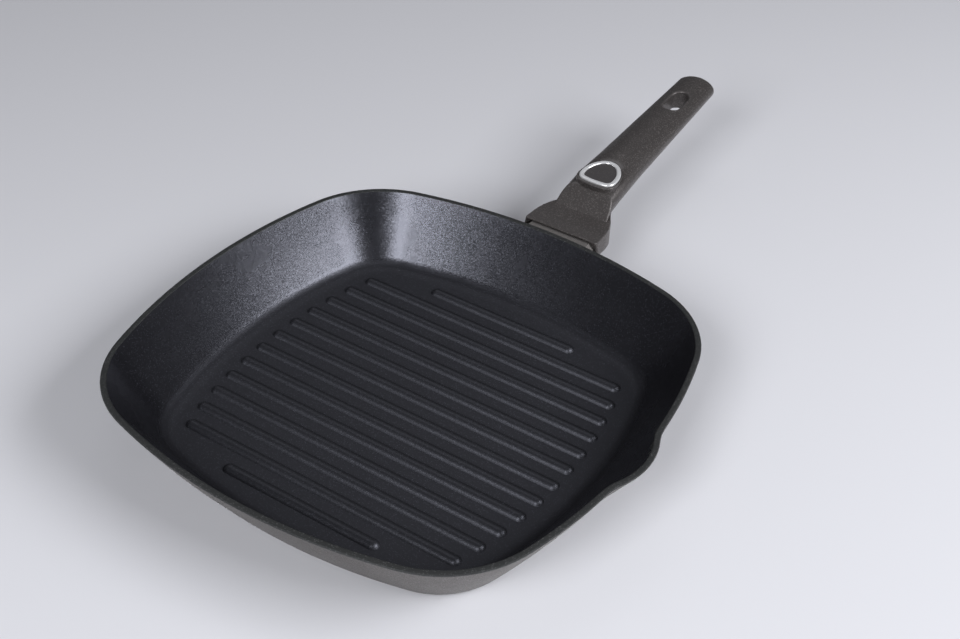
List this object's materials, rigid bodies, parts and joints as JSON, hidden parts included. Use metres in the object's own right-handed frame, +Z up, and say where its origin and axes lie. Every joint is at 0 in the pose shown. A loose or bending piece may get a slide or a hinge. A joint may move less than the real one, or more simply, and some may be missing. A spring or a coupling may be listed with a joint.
{
  "type": "square grill pan with lift-off handle",
  "caption": "Square cast grill pan with a ribbed floor, a pouring lip and a lift-off handle with a release button",
  "frame": {"origin": "middle of the flat underside of the pan, on the hob", "axes": "+X along the handle, away from the pan; +Y left when the pan is held by the handle's end and seen from the pan's front; +Z up"},
  "size_m": [0.4762, 0.2839, 0.0604],
  "materials": {
    "pan_body": "cast aluminium with a dark non-stick coating inside and a taupe metallic coating outside",
    "handle_shell": "soft-touch metallic taupe coating",
    "socket_sleeve": "plain sheet steel",
    "latch_spring": "spring steel",
    "latch_screws": "zinc plated",
    "underside_cover": "soft-touch metallic taupe coating",
    "cover_screws": "zinc plated",
    "button_carrier": "dark moulded plastic",
    "button_ring": "bright chrome plating",
    "button_cap": "metallic taupe"
  },
  "bodies": {
    "pan": {"pan_body": "pan_body"},
    "handle": {"handle_shell": "handle_shell", "socket_sleeve": "socket_sleeve", "latch_spring": "latch_spring", "latch_screws": "latch_screws", "underside_cover": "underside_cover", "cover_screws": "cover_screws"},
    "button": {"button_carrier": "button_carrier", "button_ring": "button_ring", "button_cap": "button_cap"}
  },
  "joints": [
    {"name": "handle_pull", "type": "slide", "parent": "pan", "child": "handle", "axis": [1, 0, 0], "range_m": [0, 0.04]},
    {"name": "button_press", "type": "slide", "parent": "handle", "child": "button", "axis": [0.0884, 0, -0.9961], "range_m": [0, 0.0012], "stiffness_N_per_m": 6000, "deforming": ["latch_spring"]}
  ]
}
